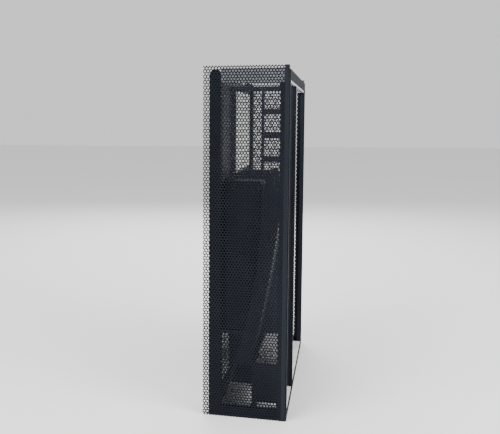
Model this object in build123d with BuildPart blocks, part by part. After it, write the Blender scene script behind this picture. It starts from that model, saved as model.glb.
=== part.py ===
from build123d import *
import math
import os

# Internal power filter for a small desktop aquarium.
# The module stands at one end of the tank: X runs from the tank side (-X) to the end glass (+X),
# the front of the tank is -Y and Z is up. The origin is on the tank floor, midway along the module's depth.
# All sizes are in millimetres.

# ---------------------------------------------------------------- driving sizes
height = 262.0              # floor to the top edge of the screens
depth = 190.0               # front face to rear face
width = 63.0                # screen's free edge to the face that presses on the glass

screen_thickness = 0.8      # perforated sheet
screen_overhang = 4.5       # screen past the edge seal, on the tank side
post_width = 8.5            # edge seal across
post_depth = 10.0           # edge seal front to back
post_below_top = 2.5        # crown of the edge seal below the screen's top edge
wall_thickness = 3.5        # dividing wall
wall_below_top = 6.0        # dividing wall's top edge below the screen's top edge
wall_in_post = 2.0          # depth of the groove that grips the wall

band_height = 7.0           # bottom seal
band_depth = 6.2            # bottom seal's front and rear bars
tray_thickness = 3.0
rail_width = 3.2            # rail beside the glass
rail_depth = 6.0
rail_flange = 3.0           # flange behind the screen
flange_thickness = 2.0
glass_seal = 0.8            # rubber strip between rail and glass
seal_setback = 0.5          # strip inside the rail's edges
seal_strip = 7.0            # strip across the top
frame_height = 10.0         # top frame
frame_bar = 3.0
frame_below_top = 2.0
frame_corner = 2.5          # corner block of the top frame, across
corner_length = 8.2
notch_width = 8.0           # rest for the pump's cord
notch_depth = 6.0
notch_x = 10.0

baffle_from_front = 62.0
baffle_thickness = 3.0
baffle_seal_width = 3.0
baffle_gap = 17.0           # height of the water way under the baffle
baffle_gap_left = 6.0       # water way starts behind the media stand
baffle_gap_margin = 6.0
window_stile = 4.0
window_width = 21.0
window_height = 70.0
window_top_bar = 3.5
middle_stile = 2.2
ladder_width = 17.5
ladder_pitch = 19.0
ladder_bar = 4.6
ladder_cells = 4

grille_from_front = 14.0    # lower intake opening
grille_length = 44.0
grille_bottom = 14.0
grille_height = 44.0
grille_lip = 3.0
grille_flange = 1.5
slot_height = 2.4
slot_pitch = 5.0
slot_margin = 2.5
slot_length = 34.0          # longest slot, in a long grille
slot_post = 2.0             # upright between two slots
skimmer_length = 106.0      # upper opening behind the baffle
skimmer_height = 68.0
skimmer_top_bar = 8.0
skimmer_lip = 3.0
skimmer_from_baffle = 4.0

carrier_depth = 43.0        # media carrier, front to back
carrier_gap = 13.0          # carrier front face behind the front face of the module
carrier_wall = 1.6
carrier_side_gap = 0.7
carrier_right_gap = 1.0
pocket_mouth = 13.4         # pocket for the carbon bag, across at its top
pocket_waist = 7.6          # the same at half height
pocket_top = 172.0
pocket_middle = 98.0
pocket_bottom = 36.0
pocket_bottom_x = 0.8
pocket_middle_x = 14.0
leg_foot_gap = 7.5          # carrier's foot above the tray
foot_setback = 0.6          # foot inside the carrier's left side
left_wall_rise = 4.0        # pocket's left wall above its right one
shelf_height = 61.0         # shelf under the foam
shelf_thickness = 1.6
foam_top = 178.0
foam_gap = 0.3
end_plate = 1.4
plate_setback = 1.0         # front end plate behind the carrier's front edges
wall_slots = (5, 4)         # slots along and up the pocket's walls
wall_slot_pitch = (6.4, 24.0)
wall_slot_middle = 109.0
wall_slot_length = 16.0
wall_slot_width = 2.2
back_slots = (3, 5)         # slots across and up the plate behind the foam
back_slot_pitch = (5.0, 19.0)
back_slot_middle = 114.0
back_slot_length = 12.0
back_slot_width = 2.6

handle_pivot_x = 16.0
handle_pivot_rise = 3.2     # pivot above the foam
handle_reach = 30.0
handle_bar = 4.6
handle_thickness = 2.0
handle_play = 0.25
pin_radius = 1.5
pin_clearance = 0.05
ear_radius = 3.6
ear_root = 4.0              # ear starts below the pocket's mouth

bag_gap = 0.3
bag_end_gap = 1.0
bag_edge = 3.0              # rounding of the bio media bags
carbon_above_floor = 2.0
carbon_below_mouth = 6.0
stand_height = 28.0         # media stand above the tray
stand_plate = 2.5
stand_leg = 4.0
stand_skirt = 2.0           # front and left skirts
skirt_above_tray = 5.0
stand_lip = 7.0             # front skirt above the plate, which keeps the bags in
stand_left = 4.0
stand_right = 27.0
bio_bag_height = 9.6
upper_bag_left = 8.4
lower_bag_left = 5.4

pump_from_back = 27.0       # pump's back plate in front of the module's rear face
pump_width = 38.0
pump_height = 40.0
pump_axis_height = 26.0     # impeller axis above the pump's underside
pump_corner = 4.0
cup_height = 9.0            # pump above the tray
cup_radius = 6.5
cup_top_radius = 3.0
cup_skirt = 3.0
cup_stem = 2.6
cup_pitch = (22.0, 18.0)
motor_length = 32.0
motor_wall = 2.0
motor_front_wall = 5.0
back_plate_thickness = 2.0
well_radius = 6.0
well_wall = 1.2
well_depth = 25.0
volute_radius = 15.5
volute_chamber = 12.5
volute_front = 2.0
volute_flange = 2.5
seal_ring_radius = 13.9
seal_ring_section = 0.75
groove_margin = 0.8
shaft_radius = 1.0
bush_length = 2.5
bush_radius = 3.5           # rear bush
front_bush_radius = 2.5
bush_holder_radius = 3.6
screw_inset_x = 3.5
screw_inset_z = 3.8
screw_radius = 1.2
screw_hole_play = 0.1
screw_head = 2.1
screw_head_height = 1.6
screw_depth = 3.5
core_setback = 4.0          # stator core behind the motor housing's front wall
core_stack = 12.0
core_half = 14.0
core_leg = 5.8
core_drop = 20.0            # core's underside below the impeller axis
core_above_axis = 8.0
core_bridge = 5.0
winding = 3.2               # copper around the core's bridge
coil_half = 6.6
coil_corner = 1.2
rotor_clearance = 0.5
rotor_setback = 1.5         # magnet behind the housing's front face
impeller_radius = 10.5
impeller_hub = 3.0
disc_front = 2.6            # impeller's disc in front of the housing
disc_back = 1.2
blade_root = 2.0
blade_thickness = 1.2
blade_count = 6
inlet_radius = 6.2          # ring of inlet holes
inlet_hole = 2.1
inlet_count = 4
dial_pin = 1.5
dial_pin_play = 0.06
dial_cap = 0.8              # pin's head past the pin, across and forward
dial_thickness = 2.2
dial_play = 0.25
dial_radius = 9.5
dial_lever = 3.0
dial_lever_width = 3.0
hose_inner = 6.0            # radius
hose_wall = 1.5
pipe_wall = 1.5
hose_offset = 6.5           # outlet beside the impeller axis
outlet_height = 20.0        # outlet's mouth above the axis
adapter_length = 16.0
adapter_flange = 1.8
adapter_flange_height = 4.0
hose_above_outlet = 6.0     # hose starts above the adapter's foot
hose_below_bend = 1.5
elbow_tail = 10.0           # straight end of the elbow inside the hose
clip_height = 3.6
clip_thickness = 1.3
clip_from_low_end = 3.0
clip_from_high_end = 5.0
pipe_past_wall = 6.0
grommet_wall = 1.5
grommet_flange = 2.5
grommet_lip = 1.5
collar_length = 3.5
nozzle_height = 158.0       # above the floor
elbow_radius = 12.0
ball_radius = 6.0
ball_clearance = 0.06
ball_gap = 0.3              # between the ball and the pipe's end
swivel_gap = 0.3            # between the swivel and the grommet
swivel_past_ball = 2.9      # lip that holds the ball in
swivel_shoulder = 1.0
swivel_radius = 8.0
rib_count = 12
rib_radius = 0.7
rib_from_end = 1.5
spout_radius = 3.4
spout_bore = 2.4
spout_length = 9.4          # past the ball's centre
cord_radius = 2.2           # radius of the cord that the gland takes
gland_neck = 3.2
gland_base = 4.8
gland_length = 12.0         # above the pump
gland_left = 9.0            # gland to the left of the impeller axis
gland_from_back = 7.0       # gland in front of the motor housing's rear face

# ---------------------------------------------------------------- planes worked out from them
front = -depth / 2
back = depth / 2
left = -width / 2
glass = width / 2
sheet_in = front + screen_thickness             # inner face of the front screen
post_left = left + screen_overhang
post_right = post_left + post_width
wall_out = post_left + (post_width - wall_thickness) / 2
wall_in = wall_out + wall_thickness
rail_right = glass - glass_seal
rail_left = rail_right - rail_width
frame_top = height - frame_below_top
frame_bottom = frame_top - frame_height
wall_top = height - wall_below_top
wall_front = sheet_in + post_depth - wall_in_post
tray_back = -sheet_in - band_depth
baffle_front = front + baffle_from_front
baffle_back = baffle_front + baffle_thickness
baffle_right = glass - baffle_seal_width


def middle(low, high):
    """Midpoint of a span."""
    return (low + high) / 2


def block(x, y, z, mode=Mode.ADD):
    """Add or cut a box, from its low and high side along each axis."""
    with Locations((middle(*x), middle(*y), middle(*z))):
        Box(x[1] - x[0], y[1] - y[0], z[1] - z[0], mode=mode)


def rod(axis, centre, radius, span, mode=Mode.ADD):
    """Add or cut a cylinder along "x", "y" or "z". The centre gives the other two coordinates in order."""
    length = span[1] - span[0]
    if axis == "x":
        place = Location((middle(*span), centre[0], centre[1]), (0, 90, 0))
    elif axis == "y":
        place = Location((centre[0], middle(*span), centre[1]), (90, 0, 0))
    else:
        place = Location((centre[0], centre[1], middle(*span)))
    with Locations(place):
        Cylinder(radius, length, mode=mode)


def save(piece, name):
    """Name a finished piece and write it."""
    piece.part.label = name
    export_step(piece.part, f"parts/{name}.step")


os.makedirs("parts", exist_ok=True)

# ---------------------------------------------------------------- screens
with BuildPart() as front_screen:
    block((left, rail_left), (front, sheet_in), (0, height))
save(front_screen, "front_screen")

with BuildPart() as rear_screen:
    block((left, rail_left), (-sheet_in, back), (0, height))
save(rear_screen, "rear_screen")

# ---------------------------------------------------------------- floor tray and bottom seal
with BuildPart() as floor_tray:
    block((wall_out, rail_right), (-tray_back, tray_back), (0, tray_thickness))
save(floor_tray, "floor_tray")

with BuildPart() as bottom_seal:
    for side in (-1, 1):
        bar = sorted((side * -sheet_in, side * tray_back))
        block((post_left, rail_left - rail_flange), bar, (0, band_height))
    block((post_left, wall_out), (-tray_back, tray_back), (0, band_height))
save(bottom_seal, "bottom_seal")

# ---------------------------------------------------------------- dividing wall and its edge seals
grille_span = (front + grille_from_front, front + grille_from_front + grille_length)
grille_rise = (grille_bottom, grille_bottom + grille_height)
skimmer_start = baffle_back + skimmer_from_baffle
skimmer_span = (skimmer_start, skimmer_start + skimmer_length)
skimmer_rise = (wall_top - skimmer_top_bar - skimmer_height, wall_top - skimmer_top_bar)
pump_back = back - pump_from_back
motor_back = pump_back - back_plate_thickness
motor_front = motor_back - motor_length
volute_length = 2 * hose_inner                  # the outlet is as wide as the volute
volute_face = motor_front - volute_length
nozzle_y = middle(volute_face, motor_front)
grommet_radius = hose_inner + grommet_wall

with BuildPart() as partition_wall:
    block((wall_out, wall_in), (wall_front, -wall_front), (tray_thickness, wall_top))
    for span, rise in ((grille_span, grille_rise), (skimmer_span, skimmer_rise)):
        block((wall_out, wall_in), span, rise, Mode.SUBTRACT)
    rod("x", (nozzle_y, nozzle_height), grommet_radius, (wall_out, wall_in), Mode.SUBTRACT)
save(partition_wall, "partition_wall")


def edge_seal(y_out, y_in, grip):
    """Rubber post with a domed top; a groove grips the dividing wall's edge."""
    dome = post_width / 2
    crown = height - post_below_top
    with BuildPart() as post:
        block((post_left, post_right), sorted((y_out, y_in)), (band_height, crown - dome))
        rod("y", (middle(post_left, post_right), crown - dome), dome, sorted((y_out, y_in)))
        block((wall_out, wall_in), sorted((grip, y_in)), (band_height, wall_top), Mode.SUBTRACT)
    return post


post_in = sheet_in + post_depth
front_edge_seal = edge_seal(sheet_in, post_in, wall_front)
save(front_edge_seal, "front_edge_seal")
rear_edge_seal = edge_seal(-sheet_in, -post_in, -wall_front)
save(rear_edge_seal, "rear_edge_seal")

# ---------------------------------------------------------------- slotted grilles in the dividing wall
def wall_grille(span, rise, lip):
    """Grille that fills an opening of the dividing wall, with a lip outside and rows of slots along Y."""
    outside = wall_out - grille_flange
    room = span[1] - span[0] - 2 * slot_margin
    columns = math.ceil((room + slot_post) / (slot_length + slot_post))
    length = (room + slot_post) / columns - slot_post
    rows = math.floor((rise[1] - rise[0] - slot_height) / slot_pitch)
    with BuildPart() as grille:
        block((wall_out, wall_in), span, rise)
        block((outside, wall_out), (span[0] - lip, span[1] + lip), (rise[0] - lip, rise[1] + lip))
        first_slot = middle(*rise) - (rows - 1) * slot_pitch / 2
        for row in range(rows):
            centre = first_slot + row * slot_pitch
            height_span = (centre - slot_height / 2, centre + slot_height / 2)
            for column in range(columns):
                start = span[0] + slot_margin + column * (length + slot_post)
                block((outside, wall_in), (start, start + length), height_span, Mode.SUBTRACT)
    return grille


lower_intake_grille = wall_grille(grille_span, grille_rise, grille_lip)
save(lower_intake_grille, "lower_intake_grille")
skimmer_grille = wall_grille(skimmer_span, skimmer_rise, skimmer_lip)
save(skimmer_grille, "skimmer_grille")


# ---------------------------------------------------------------- rails and the seal on the glass
def rail(side):
    """Rail beside the glass, with a flange behind the screen. side is -1 in front and 1 at the back."""
    with BuildPart() as bar:
        block((rail_left, rail_right), sorted((side * back, side * (back - rail_depth))), (0, height))
        flange = sorted((side * -sheet_in, side * (-sheet_in - flange_thickness)))
        block((rail_left - rail_flange, rail_left), flange, (0, frame_bottom))
    return bar


front_rail = rail(-1)
save(front_rail, "front_rail")
rear_rail = rail(1)
save(rear_rail, "rear_rail")

with BuildPart() as side_seal:
    half = back - seal_setback
    inner_half = half - (rail_depth - 2 * seal_setback)
    seal_top = frame_top - 2 * seal_setback
    block((rail_right, glass), (-half, half), (0, seal_top))
    open_rise = (tray_thickness, seal_top - seal_strip)
    block((rail_right, glass), (-inner_half, inner_half), open_rise, Mode.SUBTRACT)
save(side_seal, "side_seal")

# ---------------------------------------------------------------- top frame
with BuildPart() as top_frame:
    for side in (-1, 1):
        bar = sorted((side * -sheet_in, side * (-sheet_in - frame_bar)))
        block((post_right, rail_left), bar, (frame_bottom, frame_top))
        corner = sorted((side * -sheet_in, side * (-sheet_in - corner_length)))
        block((rail_left - frame_corner, rail_left), corner, (frame_bottom, frame_top))
    inner = back - rail_depth
    block((rail_left, rail_right), (-inner, inner), (frame_bottom, frame_top))
    notch = (notch_x - notch_width / 2, notch_x + notch_width / 2)
    block(notch, (-sheet_in - frame_bar, -sheet_in), (frame_top - notch_depth, frame_top), Mode.SUBTRACT)
save(top_frame, "top_frame")

# ---------------------------------------------------------------- cross wall between the chambers
window_left = wall_in + window_stile
window_right = window_left + window_width
window_high = frame_bottom - window_top_bar
ladder_left = window_right + middle_stile

with BuildPart() as baffle:
    plate = (baffle_front, baffle_back)
    block((wall_in, baffle_right), plate, (tray_thickness, frame_bottom))
    gap = (baffle_gap_left, baffle_right - baffle_gap_margin)
    block(gap, plate, (tray_thickness, tray_thickness + baffle_gap), Mode.SUBTRACT)
    block((window_left, window_right), plate, (window_high - window_height, window_high), Mode.SUBTRACT)
    for cell in range(ladder_cells):
        top = window_high - cell * ladder_pitch
        rung = (top - ladder_pitch + ladder_bar, top)
        block((ladder_left, ladder_left + ladder_width), plate, rung, Mode.SUBTRACT)
save(baffle, "baffle")

with BuildPart() as baffle_seal:
    block((baffle_right, glass), (baffle_front, baffle_back), (tray_thickness, frame_bottom))
save(baffle_seal, "baffle_seal")

# ---------------------------------------------------------------- media carrier
carrier_front = front + carrier_gap
carrier_back = carrier_front + carrier_depth
carrier_right = rail_left - carrier_right_gap
carrier_left = post_right + carrier_side_gap
mouth_right = carrier_right - carrier_wall
mouth_left = mouth_right - pocket_mouth
foot = tray_thickness + leg_foot_gap
foot_x = carrier_left + foot_setback
left_middle_x = pocket_middle_x - pocket_waist
left_curve = ((mouth_left, pocket_top + left_wall_rise), (left_middle_x, pocket_middle), (foot_x, foot))
right_curve = (
    (mouth_right, pocket_top),
    (pocket_middle_x, pocket_middle),
    (pocket_bottom_x, pocket_bottom),
)


def arc_x(curve, z):
    """X of the arc through three points at height z, on its inner side."""
    (x1, z1), (x2, z2), (x3, z3) = curve
    d = 2 * (x1 * (z2 - z3) + x2 * (z3 - z1) + x3 * (z1 - z2))
    squares = [x * x + z * z for x, z in curve]
    cx = (squares[0] * (z2 - z3) + squares[1] * (z3 - z1) + squares[2] * (z1 - z2)) / d
    cz = (squares[0] * (x3 - x2) + squares[1] * (x1 - x3) + squares[2] * (x2 - x1)) / d
    reach = math.sqrt((x1 - cx) ** 2 + (z1 - cz) ** 2 - (z - cz) ** 2)
    return cx - reach if cx > x2 else cx + reach


def curved_strip(curve, thickness, y_plane):
    """Face between an arc and the same arc moved sideways, on the XZ plane at y_plane."""
    moved = [(x + thickness, z) for x, z in curve]
    with BuildSketch(Plane.XZ.offset(-y_plane)) as strip:
        with BuildLine():
            ThreePointArc(*curve)
            Line(curve[2], moved[2])
            ThreePointArc(moved[2], moved[1], moved[0])
            Line(moved[0], curve[0])
        make_face()
    return strip.sketch


def pocket_face(y_plane, low, high):
    """Face across the pocket between two heights, from the left wall to the right wall."""
    left_part = [(arc_x(left_curve, z), z) for z in (low, middle(low, high), high)]
    right_part = [(arc_x(right_curve, z) + carrier_wall, z) for z in (high, middle(low, high), low)]
    with BuildSketch(Plane.XZ.offset(-y_plane)) as face:
        with BuildLine():
            ThreePointArc(*left_part)
            Line(left_part[2], right_part[0])
            ThreePointArc(*right_part)
            Line(right_part[2], left_part[0])
        make_face()
    return face.sketch


pivot_z = foam_top + handle_pivot_rise
carrier_walls = [
    curved_strip([(x - carrier_wall, z) for x, z in left_curve], carrier_wall, carrier_back),
    curved_strip(right_curve, carrier_wall, carrier_back),
]

with BuildPart() as media_carrier:
    for wall in carrier_walls:
        extrude(wall, carrier_depth)
    # slots let the water through both slanted walls
    middle_y = middle(carrier_front, carrier_back)
    with BuildSketch(Plane.YZ.offset(carrier_left)) as slots:
        with Locations((middle_y, wall_slot_middle)):
            with GridLocations(*wall_slot_pitch, *wall_slots):
                SlotCenterToCenter(wall_slot_length, wall_slot_width, rotation=90)
    extrude(amount=carrier_right - carrier_left, mode=Mode.SUBTRACT)
    # the shelf under the foam and the floor of the pocket
    shelf_right = arc_x(left_curve, shelf_height) - carrier_wall / 2
    shelf = (shelf_height, shelf_height + shelf_thickness)
    block((carrier_left, shelf_right), (carrier_front, carrier_back), shelf)
    floor_left = arc_x(left_curve, pocket_bottom) - carrier_wall / 2
    floor_right = pocket_bottom_x + carrier_wall
    pocket_floor = (pocket_bottom, pocket_bottom + end_plate)
    block((floor_left, floor_right), (carrier_front, carrier_back), pocket_floor)
    # end plates close the pocket in front and behind and carry the handle
    front_plate = carrier_front + plate_setback
    extrude(pocket_face(front_plate + end_plate, pocket_bottom, pocket_top), end_plate)
    extrude(pocket_face(carrier_back, pocket_bottom, pocket_top), end_plate)
    for near in (front_plate, carrier_back - end_plate):
        ear = (near, near + end_plate)
        rod("y", (handle_pivot_x, pivot_z), ear_radius, ear)
        ear_x = (handle_pivot_x - ear_radius, handle_pivot_x + ear_radius)
        block(ear_x, ear, (pocket_top - ear_root, pivot_z))
    arm_room = handle_thickness + 2 * handle_play
    front_pin = (front_plate - arm_room, front_plate)
    rear_pin = (carrier_back, carrier_back + arm_room)
    rod("y", (handle_pivot_x, pivot_z), pin_radius, front_pin)
    rod("y", (handle_pivot_x, pivot_z), pin_radius, rear_pin)
    # back plate behind the foam, pierced for the water
    with BuildSketch(Plane.XZ.offset(-carrier_back)) as back_sheet:
        with BuildLine():
            low_x = arc_x(left_curve, shelf_height)
            waist_z = middle(shelf_height, pocket_top)
            top_x = arc_x(left_curve, pocket_top)
            waist = (arc_x(left_curve, waist_z), waist_z)
            ThreePointArc((low_x, shelf_height), waist, (top_x, pocket_top))
            Line((top_x, pocket_top), (carrier_left, pocket_top))
            Line((carrier_left, pocket_top), (carrier_left, shelf_height))
            Line((carrier_left, shelf_height), (low_x, shelf_height))
        make_face()
        with Locations((middle(carrier_left, low_x), back_slot_middle)):
            with GridLocations(*back_slot_pitch, *back_slots):
                SlotCenterToCenter(back_slot_length, back_slot_width, rotation=90, mode=Mode.SUBTRACT)
    extrude(amount=end_plate)
save(media_carrier, "media_carrier")

# ---------------------------------------------------------------- handle of the carrier
front_arm = (front_plate - handle_thickness - handle_play, front_plate - handle_play)
rear_arm = (carrier_back + handle_play, carrier_back + handle_play + handle_thickness)
grip_x = handle_pivot_x - handle_reach

with BuildPart() as carrier_handle:
    half_bar = handle_bar / 2
    handle_rise = (pivot_z - half_bar, pivot_z + half_bar)
    for arm in (front_arm, rear_arm):
        block((grip_x, handle_pivot_x), arm, handle_rise)
        rod("y", (handle_pivot_x, pivot_z), half_bar, arm)
    block((grip_x, grip_x + handle_bar), (front_arm[0], rear_arm[1]), handle_rise)
    edges_along_grip = carrier_handle.edges().filter_by(Axis.Y).group_by(Axis.X)[0]
    fillet(edges_along_grip, handle_bar / 3)
    hole = pin_radius + pin_clearance
    rod("y", (handle_pivot_x, pivot_z), hole, (front_arm[0], rear_arm[1]), Mode.SUBTRACT)
save(carrier_handle, "carrier_handle")

# ---------------------------------------------------------------- soft media
foam_low = shelf_height + shelf_thickness + foam_gap
foam_span = (front_plate + foam_gap, carrier_back - end_plate - foam_gap)


def foam_edge(z):
    """Right edge of the foam at height z, a little clear of the carrier's left wall."""
    return arc_x(left_curve, z) - carrier_wall - foam_gap


with BuildPart() as foam_block:
    with BuildSketch(Plane.XZ.offset(-foam_span[1])):
        with BuildLine():
            edge = [(foam_edge(z), z) for z in (foam_low, middle(foam_low, pocket_top), pocket_top)]
            ThreePointArc(*edge)
            Line(edge[2], (edge[2][0], foam_top))
            Line((edge[2][0], foam_top), (carrier_left, foam_top))
            Line((carrier_left, foam_top), (carrier_left, foam_low))
            Line((carrier_left, foam_low), edge[0])
        make_face()
    extrude(amount=foam_span[1] - foam_span[0])
save(foam_block, "foam_block")

with BuildPart() as carbon_bag:
    bag_low = pocket_bottom + end_plate + carbon_above_floor
    bag_high = pocket_top - carbon_below_mouth
    bag_span = (front_plate + end_plate + bag_gap, carrier_back - end_plate - bag_gap)
    with BuildSketch(Plane.XZ.offset(-bag_span[1])):
        with BuildLine():
            heights = (bag_low, middle(bag_low, bag_high), bag_high)
            near_side = [(arc_x(left_curve, z) + bag_gap, z) for z in heights]
            far_side = [(arc_x(right_curve, z) - bag_gap, z) for z in reversed(heights)]
            ThreePointArc(*near_side)
            Line(near_side[2], far_side[0])
            ThreePointArc(*far_side)
            Line(far_side[2], near_side[0])
        make_face()
    extrude(amount=bag_span[1] - bag_span[0])
save(carbon_bag, "carbon_bag")

bag_y = (carrier_front + stand_skirt + bag_gap, carrier_back - bag_end_gap)
lower_bag_z = tray_thickness + stand_height + bag_gap
upper_bag_z = lower_bag_z + bio_bag_height + bag_gap

with BuildPart() as lower_bio_bag:
    block((lower_bag_left, stand_right), bag_y, (lower_bag_z, lower_bag_z + bio_bag_height))
    fillet(lower_bio_bag.edges().filter_by(Axis.Y), bag_edge)
save(lower_bio_bag, "lower_bio_bag")

with BuildPart() as upper_bio_bag:
    block((upper_bag_left, stand_right), bag_y, (upper_bag_z, upper_bag_z + bio_bag_height))
    fillet(upper_bio_bag.edges().filter_by(Axis.Y), bag_edge)
save(upper_bio_bag, "upper_bio_bag")

with BuildPart() as media_stand:
    stand_top = tray_thickness + stand_height
    block((stand_left, stand_right), (carrier_front, carrier_back), (stand_top - stand_plate, stand_top))
    for x in (stand_left, stand_right - stand_leg):
        for y in (carrier_front, carrier_back - stand_leg):
            block((x, x + stand_leg), (y, y + stand_leg), (tray_thickness, stand_top))
    skirt_low = tray_thickness + skirt_above_tray
    front_skirt = (carrier_front, carrier_front + stand_skirt)
    block((stand_left, stand_right), front_skirt, (skirt_low, stand_top + stand_lip))
    block((stand_left, stand_left + stand_skirt), (carrier_front, carrier_back), (skirt_low, stand_top))
save(media_stand, "media_stand")

# ---------------------------------------------------------------- pump
pump_low = tray_thickness + cup_height
pump_top = pump_low + pump_height
axis_z = pump_low + pump_axis_height
half_pump = pump_width / 2
axis = (0, axis_z)
well_end = motor_front + well_depth
well_closed = well_end + bush_length
pocket = motor_front + motor_front_wall
screw_columns = (screw_inset_x - half_pump, half_pump - screw_inset_x)
screw_rows = (pump_low + screw_inset_z, pump_top - screw_inset_z)
screw_places = [(x, z) for x in screw_columns for z in screw_rows]


def rounded_case(y, corner):
    """Case of the pump's outline between two planes, with rounded long edges."""
    with BuildSketch(Plane.XZ.offset(-y[1])) as outline:
        with Locations((0, middle(pump_low, pump_top))):
            RectangleRounded(pump_width, pump_height, corner)
    return extrude(outline.sketch, y[1] - y[0], mode=Mode.PRIVATE)


gland_place = (-gland_left, motor_back - gland_from_back)

with BuildPart() as motor_housing:
    add(rounded_case((motor_front, motor_back), pump_corner))
    inside = half_pump - motor_wall
    cavity_rise = (pump_low + motor_wall, pump_top - motor_wall)
    block((-inside, inside), (pocket, motor_back), cavity_rise, Mode.SUBTRACT)
    rod("y", axis, well_radius + well_wall, (motor_front, well_closed + well_wall))
    rod("y", axis, well_radius, (motor_front, well_end), Mode.SUBTRACT)
    rod("y", axis, bush_radius, (well_end, well_closed), Mode.SUBTRACT)
    for place in screw_places:
        rod("y", place, screw_radius, (motor_front, motor_front + screw_depth), Mode.SUBTRACT)
    rod("z", gland_place, gland_neck, (pump_top - motor_wall, pump_top), Mode.SUBTRACT)
save(motor_housing, "motor_housing")

with BuildPart() as back_plate:
    add(rounded_case((motor_back, pump_back), pump_corner))
save(back_plate, "back_plate")

with BuildPart() as cord_gland:
    gland_top = pump_top + gland_length
    rod("z", gland_place, gland_neck, (pump_top - motor_wall, pump_top))
    with Locations((*gland_place, middle(pump_top, gland_top))):
        Cone(gland_base, gland_neck, gland_length)
    rod("z", gland_place, cord_radius, (pump_top - motor_wall, gland_top), Mode.SUBTRACT)
save(cord_gland, "cord_gland")

core_span = (pocket + core_setback, pocket + core_setback + core_stack)
bridge_low = axis_z - core_drop
bridge_high = bridge_low + core_bridge

with BuildPart() as stator_core:
    core_top = axis_z + core_above_axis
    block((-core_half, core_half), core_span, (bridge_low, core_top))
    block((core_leg - core_half, core_half - core_leg), core_span, (bridge_high, core_top), Mode.SUBTRACT)
save(stator_core, "stator_core")

with BuildPart() as coil:
    coil_y = (core_span[0] - winding, core_span[1] + winding)
    coil_z = (bridge_low - winding, bridge_high + winding)
    block((-coil_half, coil_half), coil_y, coil_z)
    block((-coil_half, coil_half), core_span, (bridge_low, bridge_high), Mode.SUBTRACT)
    for face in (0, -1):
        fillet(coil.edges().filter_by(Axis.X).group_by(Axis.Y)[face], coil_corner)
save(coil, "coil")

dial_back = volute_face - dial_play
dial_front = dial_back - dial_thickness
outlet_x = hose_offset
outlet_z = axis_z + outlet_height

with BuildPart() as volute_cover:
    add(rounded_case((motor_front - volute_flange, motor_front), pump_corner))
    rod("y", axis, volute_radius, (volute_face, motor_front))
    rod("z", (outlet_x, nozzle_y), hose_inner, (axis_z, outlet_z))
    rod("y", axis, volute_chamber, (volute_face + volute_front, motor_front), Mode.SUBTRACT)
    rod("z", (outlet_x, nozzle_y), hose_inner - pipe_wall, (axis_z, outlet_z), Mode.SUBTRACT)
    boss = (volute_face + volute_front, volute_face + volute_front + bush_length)
    rod("y", axis, bush_holder_radius, boss)
    rod("y", axis, front_bush_radius, boss, Mode.SUBTRACT)
    with Locations(Location((0, volute_face + volute_front / 2, axis_z), (90, 0, 0))):
        with PolarLocations(inlet_radius, inlet_count):
            Cylinder(inlet_hole, volute_front, mode=Mode.SUBTRACT)
    rod("y", axis, dial_pin, (dial_front - dial_cap, volute_face))
    rod("y", axis, dial_pin + dial_cap, (dial_front - dial_cap - 0.1, dial_front - 0.1))
    groove = (motor_front - 2 * seal_ring_section, motor_front)
    rod("y", axis, seal_ring_radius + groove_margin, groove, Mode.SUBTRACT)
    with Locations(Location((0, middle(*groove), axis_z), (90, 0, 0))):
        Cylinder(seal_ring_radius - groove_margin, 2 * seal_ring_section)
        Cylinder(volute_chamber, 2 * seal_ring_section, mode=Mode.SUBTRACT)
    flange = (motor_front - volute_flange, motor_front)
    for place in screw_places:
        rod("y", place, screw_radius + screw_hole_play, flange, Mode.SUBTRACT)
save(volute_cover, "volute_cover")

with BuildPart() as seal_ring:
    with Locations(Location((0, motor_front - seal_ring_section, axis_z), (90, 0, 0))):
        Torus(seal_ring_radius, seal_ring_section)
save(seal_ring, "seal_ring")

with BuildPart() as volute_screws:
    for place in screw_places:
        head = (flange[0] - screw_head_height, flange[0])
        rod("y", place, screw_head, head)
        rod("y", place, screw_radius, (head[1], motor_front + screw_depth))
save(volute_screws, "volute_screws")

with BuildPart() as front_bush:
    rod("y", axis, front_bush_radius, boss)
    rod("y", axis, shaft_radius, boss, Mode.SUBTRACT)
save(front_bush, "front_bush")

with BuildPart() as rear_bush:
    rod("y", axis, bush_radius, (well_end, well_closed))
    rod("y", axis, shaft_radius, (well_end, well_closed), Mode.SUBTRACT)
save(rear_bush, "rear_bush")

with BuildPart() as impeller_shaft:
    rod("y", axis, shaft_radius, (boss[0], well_closed))
save(impeller_shaft, "impeller_shaft")

rotor_start = motor_front + rotor_setback
hub_front = boss[1] + rotor_clearance

with BuildPart() as impeller:
    disc = (motor_front - disc_front, motor_front - disc_back)
    rod("y", axis, impeller_radius, disc)
    rod("y", axis, impeller_hub, (hub_front, rotor_start))
    for blade in range(blade_count):
        turn = 360 * blade / blade_count
        with Locations(Location((0, middle(hub_front, disc[0]), axis_z), (0, turn, 0))):
            with Locations((middle(blade_root, impeller_radius), 0, 0)):
                Box(impeller_radius - blade_root, disc[0] - hub_front + 0.2, blade_thickness)
    rod("y", axis, shaft_radius + pin_clearance, (hub_front, rotor_start), Mode.SUBTRACT)
save(impeller, "impeller")

with BuildPart() as rotor_magnet:
    rod("y", axis, well_radius - rotor_clearance, (rotor_start, well_end - rotor_clearance))
    rod("y", axis, shaft_radius + pin_clearance, (rotor_start, well_end - rotor_clearance), Mode.SUBTRACT)
save(rotor_magnet, "rotor_magnet")

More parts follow.
